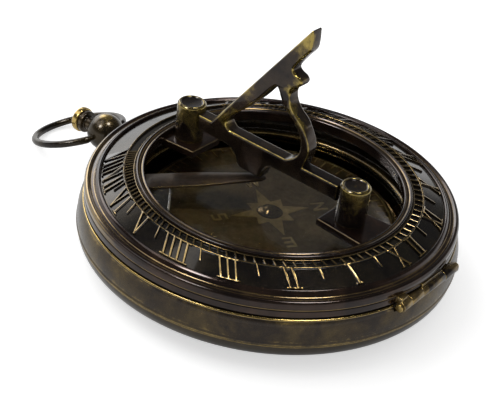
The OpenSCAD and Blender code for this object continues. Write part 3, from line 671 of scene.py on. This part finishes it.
# the hinge barrel's room in the rim below its axis or above it
def hingeNotch(look, above):
    half, r = look["half"] + look["room"], look["radius"] + look["room"]
    y, z, past = size["hingeY"], size["hingeHeight"], look["cutPast"]
    low = (-half, y - look["cutBack"], z - past if above else z - r)
    high = (half, y + r, z + r if above else z + past)
    cutter = bmesh.new()
    bmesh.ops.create_cube(cutter, size=1.0)
    for point in cutter.verts:
        for i in range(3):
            point.co[i] = (low[i] if point.co[i] < 0 else high[i]) * mm
    return cutter


def addCaseBelt(look):
    reach, foot, top = size["caseRadius"], size["backHeight"], size["rimTop"]
    rim, middle = size["rimRadius"], look["sideSteps"]
    side = bend((reach - 0.15, foot + 0.75), (reach - 0.1, top - 2), (rim + 0.1, top - 0.4), 2 * middle)
    side = [(r, z, look["edgeGlow"] * abs(i / middle - 1) ** 3) for i, (r, z) in enumerate(side)]
    outline = [(size["shelfRadius"], foot), (reach - 0.2, foot), (reach - 0.05, foot + 0.15),
               (reach, foot + 0.4), (reach - 0.1, foot + 0.65)] + side + [
        (rim + 0.15, top - 0.2), (rim, top), (size["rimInside"], top),
        (size["rimInside"], size["bezelFoot"]), (size["shelfRadius"], size["bezelFoot"])]
    body = newBody()
    lathe(body, rounded(outline, look["fillet"]), look["segments"])
    makePiece("caseBelt", carve(body, hingeNotch(hinge, False)), ["case_belt"])


addCaseBack(case)
addCaseBelt(case)
roundedCopy("caseKnuckles", "case_knuckles", hinge["edge"], worn=hinge["worn"])
roundedCopy("lidKnuckles", "lid_knuckles", hinge["edge"], worn=hinge["worn"])
roundedCopy("hingePin", "hinge_pin", hinge["pinEdge"], worn=hinge["pinWorn"])
print("stage: case made")


# the bright ring round the glass, with two steps down to the case's rim
bezel = {"fillet": 0.12, "stepOut": 3.8, "lipIn": 0.9, "gap": 0.1, "bead": 0.3}


def addBezel(look):
    glass, gap, bead = size["glassRadius"], look["gap"], look["bead"]
    lip, step, edge = size["glassTop"] + 0.02, glass + look["stepOut"], glass - look["lipIn"]
    top, foot, wall = size["rimTop"], size["bezelFoot"], size["rimInside"] - gap
    outline = [(glass + gap, foot), (wall, foot), (wall, top - 0.6), (wall - 0.4, top - 0.25),
               (step, top - 0.25), (step - 0.3, top + 0.05), (glass + 1, top + 0.05),
               (glass + 0.6, top + bead), (glass - 0.6, top + bead), (edge, top + 0.05), (edge, lip),
               (glass + gap, lip)]
    body = newBody()
    lathe(body, rounded(outline, look["fillet"]), case["segments"])
    makePiece("glassBezel", body, ["glass_bezel"])


addBezel(bezel)


# the crown: collar, ball and push button on one axis, and the bow that swings in the ball
crown = {
    "ballY": 44.1, "ballRadius": 3.85, "collarRadius": 2.0, "buttonRadius": 2.65, "buttonY": 49.2,
    "bore": 0.9, "mouth": 1.9, "root": 1.4, "inBall": 1.2, "flange": 0.6,
    "stemRadius": 0.8, "stemEnd": 31.7, "screwRadius": 0.5, "screwEnd": 32.7, "neckRadius": 1.5,
    "dark": 0.75, "topGold": 0.9, "ballSteps": 32, "segments": 96, "stemSegments": 48,
    "collarFillet": 0.2, "ballFillet": 0.16, "headFillet": 0.22, "shankFillet": 0.1,
}
bow = {
    "radius": 9.5, "wire": 0.75, "arm": 4.75, "tip": 0.5, "tipLength": 1.1, "tipStep": 0.3,
    "tipOut": 0.35, "bendTurn": 0.05, "floorGap": 0.05, "steps": 72, "sides": 32, "uneven": 0.03,
    "unevenScale": 0.5,
}
spring = {
    "from": 44.4, "length": 2.5, "radius": 1.25, "wire": 0.17, "turns": 3.5, "steps": 140, "sides": 10,
    "shut": 0.52,
}


def addCollar(look):
    bore, c, foot = look["bore"], look["collarRadius"], size["caseRadius"]
    rim, root = c + look["flange"], foot - look["root"]
    end = look["ballY"] - look["ballRadius"] + look["inBall"]
    outline = [(bore, root), (c, root), (c, foot + 0.05), (rim, foot + 0.05), (rim, foot + 0.75),
               (c, foot + 0.75), (c, end), (bore, end)]
    body = newBody()
    lathe(body, rounded(outline, look["collarFillet"]), look["segments"], aboutCrown)
    makePiece("crownCollar", body, ["crown_collar"])


def addBall(look):
    r, y, bore, mouth = look["ballRadius"], look["ballY"], look["bore"], look["mouth"]
    start, end = math.asin(look["collarRadius"] / r), math.asin(mouth / r)
    ball = []
    for i in range(look["ballSteps"] + 1):
        turn = start + (math.pi - start - end) * i / look["ballSteps"]
        ball.append((r * math.sin(turn), y - r * math.cos(turn), -look["dark"]))
    outline = [(bore, ball[0][1] + 0.02)] + ball + [(mouth, y + 0.3), (bore, y + 0.3)]
    body = newBody()
    lathe(body, rounded(outline, look["ballFillet"], least=20), look["segments"], aboutCrown)
    # the ball is kept darker all round and turned gold towards its top
    rub(body, (0.0, y, size["crownHeight"] + r), r, look["topGold"] + look["dark"])
    makePiece("crownBall", body, ["crown_ball"])


def addButton(look):
    b, y, stem, neck = look["buttonRadius"], look["buttonY"], look["stemRadius"], look["neckRadius"]
    inner, groove = b - 0.3, b - 0.5
    back, end, screw, screwEnd = y - 2.2, look["stemEnd"], look["screwRadius"], look["screwEnd"]
    head = [(0.0, back), (stem, back), (neck, back), (neck, y), (inner, y, -0.3), (inner, y + 0.8, -0.3),
            (groove, y + 0.9), (groove, y + 1.05), (b, y + 1.2, 1.0), (b, y + 2.3, 1.0),
            (b - 0.35, y + 2.65, 0.8), (b - 0.9, y + 2.7, 0.4), (b - 1.2, y + 2.5),
            (0.0, y + 2.65, 0.5)]
    shank = [(0.0, end), (screw, end), (screw, screwEnd), (stem, screwEnd), (stem, back), (0.0, back)]
    body = newBody()
    lathe(body, rounded(head, look["headFillet"]), look["segments"], aboutCrown)
    lathe(body, rounded(shank, look["shankFillet"]), look["stemSegments"], aboutCrown)
    makePiece("pushButton", body, ["push_button"])


def addBow(look, ball):
    loop, wide, tip = look["radius"], look["wire"], look["tip"]
    off = math.sqrt(loop ** 2 - look["arm"] ** 2)
    droop = math.asin((size["crownHeight"] - wide - look["floorGap"]) / (off + loop))
    start = math.atan2(-off, look["arm"])
    low = ball["ballRadius"] - look["tipLength"]
    path = [(low + look["tipStep"] * k, 0.0, tip) for k in range(4)]
    path.append((ball["ballRadius"] + look["tipOut"], 0.0, tip))
    half = len(path)
    for k in range(look["steps"] + 1):
        swept = math.pi - 2 * start - 2 * look["bendTurn"]
        turn = start + look["bendTurn"] + swept * k / look["steps"]
        path.append((loop * math.cos(turn), off + loop * math.sin(turn), wide))
    path += [(-x, y, r) for x, y, r in reversed(path[:half])]
    tilt = Matrix.Rotation(-droop, 3, "X")
    lift = Vector((0, ball["ballY"], size["crownHeight"]))
    spots = [lift + tilt @ Vector((x, y, 0)) for x, y, r in path]
    body = newBody()
    wire(body, spots, [r for x, y, r in path], look["sides"], -ball["dark"])
    unevenSurface(body, look["uneven"], look["unevenScale"], seed=3.0)
    makePiece("bowRing", body, ["bow_ring"])


def addSpring(look):
    r, steps, climb = look["wire"], look["steps"], look["length"] - 2 * look["wire"]
    points = []
    for k in range(steps + 1):
        turn = 2 * math.pi * look["turns"] * k / steps
        points.append(Vector(aboutCrown(look["radius"], look["from"] + r + climb * k / steps, turn)))
    body = newBody()
    wire(body, points, [r] * len(points), look["sides"])
    piece = makePiece("buttonSpring", body, ["button_spring"])
    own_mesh(piece)


addCollar(crown)
addBall(crown)
addButton(crown)
addBow(bow, crown)
addSpring(spring)
print("stage: crown and bow made")


# the lid: a wide ring with beads, tabs for the posts, and the hour ring with its numerals; the ring's
# outer beads carry a painted highlight, more worn gold up to highlightReach radians beside the turn
# highlightAt
lid = {
    "fillet": 0.16, "segments": 288, "tabEdge": 0.28, "tabHalf": 4.6, "tabFlare": 0.3, "tabRoot": 0.8,
    "tabPast": 1.75, "tabCut": 1.2, "highlightAt": 2.35, "highlightReach": 0.7, "highlightMore": 1.3, "highlightBand": 0.8,
    "highlightDeep": 4.0,
}


def addLidRing(look):
    top, out, reach = size["tickTop"], size["hourOut"], size["lidRadius"]
    inside, tickIn, tickOut = size["openRadius"], size["tickIn"], size["tickOut"]
    skirt = size["rimInside"]
    outline = [(inside, size["lidUnder"]), (inside, top + 0.2), (inside + 0.25, top + 0.45),
               (inside + 0.5, top + 0.25), (tickIn - 0.55, top + 0.3), (tickIn - 0.3, top + 0.6),
               (tickIn, top + 0.45), (tickIn, size["seat"]), (tickOut, size["seat"]),
               (out, size["seat"] - size["numeralFall"]), (out, top - 1.6), (out + 0.35, top - 1.4),
               (out + 0.75, top - 1.75), (out + 1.15, top - 2.4), (out + 1.75, top - 2.55),
               (reach - 0.65, top - 2.2), (reach - 0.25, top - 2.35), (reach, top - 2.85),
               (reach, top - 3.75), (reach - 0.2, top - 3.95), (reach, top - 4.2),
               (reach, size["lidFoot"]), (skirt, size["lidFoot"]), (skirt, top - 3.95),
               (skirt - 0.5, top - 3.65), (tickOut - 0.2, top - 2.15), (tickOut - 0.6, size["lidUnder"])]
    body = newBody()
    lathe(body, rounded(outline, look["fillet"], least=10), look["segments"])
    mesh = carve(body, hingeNotch(hinge, True))
    body = bmesh.new()
    body.from_mesh(mesh)
    addTabs(body, look)
    layer = body.verts.layers.float["wear"]
    # painted highlight: the outer beads get extra worn gold on one side of the ring only, where light
    # catches them
    for point in body.verts:
        r, turn = math.hypot(point.co.x, point.co.y) / mm, math.atan2(point.co.y, point.co.x)
        near = 1.0 - abs(turn - look["highlightAt"]) / look["highlightReach"]
        outside = r > reach - look["highlightBand"] and point.co.z / mm > top - look["highlightDeep"]
        if outside and near > 0:
            point[layer] += look["highlightMore"] * min(1.0, 2 * near)
    makePiece("lidRing", body, ["lid_ring"])


# the two tabs that reach in from the ring and carry the posts
def addTabs(body, look):
    narrow, flare = look["tabHalf"] - 0.5, look["tabFlare"]
    half, thick = look["tabHalf"], size["tabThick"]
    middle = size["tabTop"] - thick / 2
    for post, way in ((size["crownPostY"], 1), (size["hingePostY"], -1)):
        near, far = post - size["postRadius"] - look["tabPast"], size["openRadius"] + look["tabRoot"]
        tab = [(-narrow, way * near), (narrow, way * near), (half + flare, way * (far - 0.6)),
               (half, way * far), (-half, way * far), (-half - flare, way * (far - 0.6))]
        thickShape(body, [tab if way > 0 else tab[::-1]], thick, look["tabEdge"],
                   lambda p: Vector((p.x, p.y, middle + p.z)), look["tabCut"])


# lengths in mm, angles in degrees; a stroke sinks a little under the one that it crosses or touches,
# and the numerals' and ticks' worn gold is partly painted light: fullest on the side that
# paintedLightSide points to, and dimmed as painted shade away from it
hours = {
    "fanY": 14.7, "angle": 15.0, "noonGap": 2.7, "edge": 0.055, "segments": 288,
    "afternoon": ("I", "II", "III", "IIII", "V", "VI", "VII", "VIII"),
    "morning": ("XI", "X", "IX", "VIII", "VII", "VI", "V", "IIII"),
    "stroke": 0.36, "thin": 0.26, "pitch": 1.32, "vWidth": 2.5, "serifThick": 0.24, "serifHalf": 0.4,
    "margin": 0.35, "inset": 0.05, "legInset": 0.42, "overlap": 0.02, "numeralIn": 0.05,
    "thinSink": 0.012, "serifSink": 0.03, "nextSink": 0.006, "deep": 0.45, "fillet": 0.09,
    "ticksPerHour": 6, "ticks": 52, "tickBar": 0.3, "tickStart": 0.35, "tickGap": 0.1,
    "tickSink": 0.08, "tickDeep": 0.4, "tickWorn": 0.8, "tickPaintedShade": 0.2, "halfHourLength": 2.4,
    "paintedLightSide": (-0.35, -0.94), "paintedShadeAway": 0.75, "footWorn": -0.7, "shoulderWorn": 0.55,
}


def bandHeight(r):
    fall = size["numeralFall"] * (r - size["tickOut"]) / size["numeralWidth"]
    return size["tickTop"] - size["bandDrop"] - fall


# point at radius r beside the hour line at angle a, u across it; side is the half of the noon gap
def fanPoint(side, a, u, r):
    base = Vector((side * hours["noonGap"] / 2 + u * math.cos(a), hours["fanY"] - u * math.sin(a)))
    way = Vector((math.sin(a), math.cos(a)))
    along = base.dot(way)
    return base - way * (along + math.sqrt(along * along - base.dot(base) + r * r))


# raised stroke from a to b with rounded top edges; place maps its points to the ring, rise(r) is its
# top's height, and less is how much of its worn gold is taken off, as painted shade, on the side away
# from paintedLightSide
def raisedBar(body, place, a, b, wide, rise, deep, worn=1.0, less=hours["paintedShadeAway"]):
    a, b = Vector(a), Vector(b)
    along = (b - a).normalized()
    across = Vector((-along.y, along.x))
    edge = min(hours["edge"], wide * 0.3)
    sideX, sideY = hours["paintedLightSide"]
    shoulder = hours["shoulderWorn"] * worn
    rings = []
    for inset, drop, wear in ((0.0, deep, hours["footWorn"]), (0.0, edge, shoulder), (edge, 0.0, worn)):
        ring = []
        for end, side in ((0, 1), (0, -1), (1, -1), (1, 1)):
            spot = (b - along * inset) if end else (a + along * inset)
            spot = spot + across * side * (wide / 2 - inset)
            x, y = place(spot.x, spot.y)
            r = math.hypot(x, y)
            # painted light and shade: the bar's worn gold is dimmed the more it faces away from the lit
            # side of the ring
            away = 1.0 - (x * sideX + y * sideY) / r
            ring.append(addPoint(body, (x, y, rise(r) - drop), wear * (1.0 - less * away / 2)))
        rings.append(ring)
    made = []
    for low, high in zip(rings, rings[1:]):
        for k in range(4):
            n = (k + 1) % 4
            made.append(body.faces.new((low[k], low[n], high[n], high[k])))
    made.append(body.faces.new(rings[-1]))
    bmesh.ops.recalc_face_normals(body, faces=made)


# strokes of one Roman letter: ends, width and how far it sinks under the tallest
def letterStrokes(letter):
    thick, thin, serif = hours["stroke"], hours["thin"], hours["serifThick"]
    h = (size["numeralWidth"] - hours["margin"]) / 2
    top, foot, end = h - hours["inset"], hours["inset"] - h, h - serif / 2
    if letter == "I":
        half = hours["pitch"] / 2 + hours["overlap"]
        return [((0, foot), (0, top), thick, 0.0)] + [
            ((-half, row * end), (half, row * end), serif, hours["serifSink"]) for row in (-1, 1)]
    x, half = hours["vWidth"] / 2 - hours["legInset"], hours["serifHalf"]
    feet, rows = ((0.1, 0), (1,)) if letter == "V" else ((x, -x), (-1, 1))
    strokes = [((-x, top), (feet[0], foot), thick, 0.0),
               ((x, top), (feet[1], foot), thin, hours["thinSink"])]
    return strokes + [((side * x - half, row * end), (side * x + half, row * end), serif,
                       hours["serifSink"]) for side in (-1, 1) for row in rows]


# a numeral on the hour line at angle a, its middle u beside the line
def addNumeral(body, text, a, u=0.0):
    widths = [hours["pitch"] if letter == "I" else hours["vWidth"] for letter in text]
    left = u - sum(widths) / 2
    side = -1.0 if a > 0 else 1.0 if a < 0 else 0.0
    middle = (size["tickOut"] + size["hourOut"]) / 2 - hours["numeralIn"]
    for i, letter in enumerate(text):
        shift = left + sum(widths[:i]) + widths[i] / 2
        for start, end, w, drop in letterStrokes(letter):
            top = size["relief"] - (drop + hours["nextSink"] * (i % 2))
            raisedBar(body, lambda x, y: fanPoint(side, a, x + shift, middle - y), start, end, w,
                      lambda r: bandHeight(r) + top, hours["deep"])


def addHourRing(look):
    tickIn, tickOut, top = size["tickIn"], size["tickOut"], size["tickTop"]
    inner, outer = tickIn + 0.05, size["hourOut"] - 0.05
    floor, foot = top - 0.45, size["seat"] + 0.02
    end = foot - size["numeralFall"] * (outer - tickOut) / size["numeralWidth"]
    outline = [(inner, foot), (tickOut, foot), (outer, end), (outer, bandHeight(outer)),
               (tickOut + 0.15, bandHeight(tickOut + 0.15)), (tickOut + 0.15, top),
               (tickOut - 0.15, top), (tickOut - 0.15, floor), (inner + 0.4, floor),
               (inner + 0.4, top + 0.1), (inner, top + 0.1)]
    body = newBody()
    lathe(body, rounded(outline, look["fillet"]), look["segments"])
    step, gap = math.radians(look["angle"] / look["ticksPerHour"]), look["tickGap"]
    for way in (-1, 1):
        for i in range(look["ticks"]):
            raisedBar(body, lambda u, v: fanPoint(-way, way * i * step, u, v),
                      (0, inner + look["tickStart"]), (0, tickOut - gap), look["tickBar"],
                      lambda r: top - look["tickSink"], look["tickDeep"], look["tickWorn"],
                      look["tickPaintedShade"])
        for i in range(len(look["afternoon"])):
            turn = way * (i * look["ticksPerHour"] + look["ticksPerHour"] // 2) * step
            raisedBar(body, lambda u, v: fanPoint(-way, turn, u, v), (0, tickOut + gap),
                      (0, tickOut + look["halfHourLength"]), look["thin"],
                      lambda r: bandHeight(r) + size["relief"], look["tickDeep"])
    for i, (late, early) in enumerate(zip(look["afternoon"], look["morning"])):
        turn = math.radians(look["angle"]) * (i + 1)
        addNumeral(body, late, turn)
        addNumeral(body, early, -turn)
    addNumeral(body, "X", 0.0, -look["noonGap"] / 2 - look["vWidth"] / 2)
    addNumeral(body, "II", 0.0, look["noonGap"] / 2 + look["pitch"])
    makePiece("hourRing", body, ["hour_ring"])


addLidRing(lid)
addHourRing(hours)
roundedCopy("lidCatch", "lid_catch", edge=0.12)
roundedCopy("latchHook", "latch_hook", edge=0.12)
print("stage: lid and hour ring made")


# the posts that the gnomon turns in, with dished tops
posts = {
    "height": 7.75, "tongue": 1.4, "fillet": 0.2, "bevel": 0.35, "rim": 0.6, "segments": 96,
    "wornFoot": 0.2, "wornTop": 0.6, "wornDish": 0.5,
}


def addPosts(look):
    low, foot = size["tabTop"] - size["tabThick"], size["tabTop"]
    r, top, tongue, bevel = size["postRadius"], foot + look["height"], look["tongue"], look["bevel"]
    outline = [(0.0, low), (tongue, low), (tongue, foot), (r, foot, look["wornFoot"]),
               (r, top - bevel, look["wornTop"]), (r - bevel, top), (r - look["rim"], top),
               (r - 0.8, top - 0.25), (0.0, top - 0.4, look["wornDish"])]
    body = newBody()
    for y in (size["crownPostY"], -size["hingePostY"]):
        lathe(body, rounded(outline, look["fillet"]), look["segments"], aboutZ, (0.0, y))
    makePiece("gnomonPosts", body, ["gnomon_posts"])


addPosts(posts)
roundedCopy("postRivets", "post_rivets", edge=0.15)
roundedCopy("leafSpring", "leaf_spring", edge=0.12)
roundedCopy("springScrews", "spring_screws", edge=0.1)
print("stage: posts made")


# the gnomon: one cast plate with a window, a bar and a tail; rubbed holds spots that are worn, each
# with its y, its height over the pivot, its reach and its wear
gnomon = {
    "tip": 28.9, "tipY": -4.4, "styleAngle": 53.8, "thick": 2.9, "barHeight": 3.2, "tail": 5.1,
    "gap": 0.15, "curveSteps": 4, "tailSteps": 6, "edge": 0.45, "cut": 0.9, "cast": 0.05,
    "castScale": 0.3,
    "rubbed": (
        (-3.4, 26.8, 3.6, 0.8), (-2.6, 23.2, 2.4, 0.4), (-1.8, 19.6, 1.8, 0.4), (-3.2, 17.8, 1.8, 0.5),
        (-1.4, 15.6, 1.8, 0.8), (-2.6, 12.4, 2.2, 0.6), (-5.0, 10.2, 2.0, 0.5), (8.0, 11.6, 3.0, 0.2),
        (12.2, 3.4, 2.2, 0.8), (10.4, 5.6, 2.0, 0.6)),
}


# the plate's outer edge and its window as (y, height over the pivot) points
def gnomonOutlines(look):
    b, tip, deep = look["barHeight"] / 2, look["tip"], look["tail"]
    low = -size["hingePostY"] + size["postRadius"] + look["gap"]
    high = size["crownPostY"] - size["postRadius"] - look["gap"]
    foot = look["tipY"] + (tip - b) / math.tan(math.radians(look["styleAngle"]))
    point = bend((-4.0, tip - 0.55), (look["tipY"], tip), (-4.48, tip - 0.8), 3)
    back = [(-4.5, 27.9), (-4.6, 26.2), (-4.4, 24.6), (-3.3, 23.0), (-2.2, 21.4), (-1.4, 19.9),
            (-1.9, 19.2), (-3.1, 18.7), (-3.65, 17.9), (-3.2, 17.0), (-2.1, 16.2), (-1.55, 14.9),
            (-1.9, 13.2), (-3.2, 11.6), (-4.7, 10.5), (-5.7, 9.3), (-6.6, 7.8), (-7.3, 6.0),
            (-7.35, 4.4), (-6.9, 2.8), (-6.6, b)]
    inner = [(11.0, b), (11.7, 2.2), (12.1, 3.1), (11.6, 4.1), (10.4, 5.4), (8.9, 6.8), (6.8, 9.0),
             (4.5, 11.7), (2.6, 14.3), (1.7, 15.1), (1.1, 14.6), (0.3, 13.1), (-1.2, 11.4), (-3.4, 9.6),
             (-4.9, 7.5), (-5.4, 5.6), (-5.2, 4.0), (-4.2, 2.7), (-2.6, b)]
    tail = bend((0.4, -b), (1.6, -b - 0.6), (2.3, 0.9 - deep), look["tailSteps"])
    tail += [(2.5, 0.3 - deep), (3.3, -deep), (7.2, -deep), (7.9, 0.15 - deep)]
    tail += bend((8.5, 0.8 - deep), (8.9, -b - 0.3), (11.4, -b), look["tailSteps"])
    edge = [(high, -b), (high, b), (foot, b)] + point + smooth(back, look["curveSteps"])
    edge += [back[-1], (low, b), (low, -b)] + tail
    return edge, smooth(inner, look["curveSteps"]) + [inner[-1]]


# more than 0 for a loop drawn anticlockwise
def area(loop):
    return sum(a[0] * b[1] - b[0] * a[1] for a, b in zip(loop, loop[1:] + loop[:1])) / 2


def addGnomon(look):
    edge, window = gnomonOutlines(look)
    if area(edge) < 0:
        edge.reverse()
    if area(window) > 0:
        window.reverse()
    body = newBody()
    thickShape(body, [edge, window], look["thick"], look["edge"],
               lambda p: Vector((p.z, p.x, size["pivotHeight"] + p.y)), look["cut"])
    for spot in body.verts:
        place = spot.co / mm * look["castScale"]
        spot.co += Vector((1, 0, 0)) * fractal.noise(place) * look["cast"] * mm
    for y, h, reach, amount in look["rubbed"]:
        rub(body, (-look["thick"] / 2, y, size["pivotHeight"] + h), reach, amount)
    makePiece("gnomonCast", body, ["gnomon"])


addGnomon(gnomon)
print("stage: gnomon made")
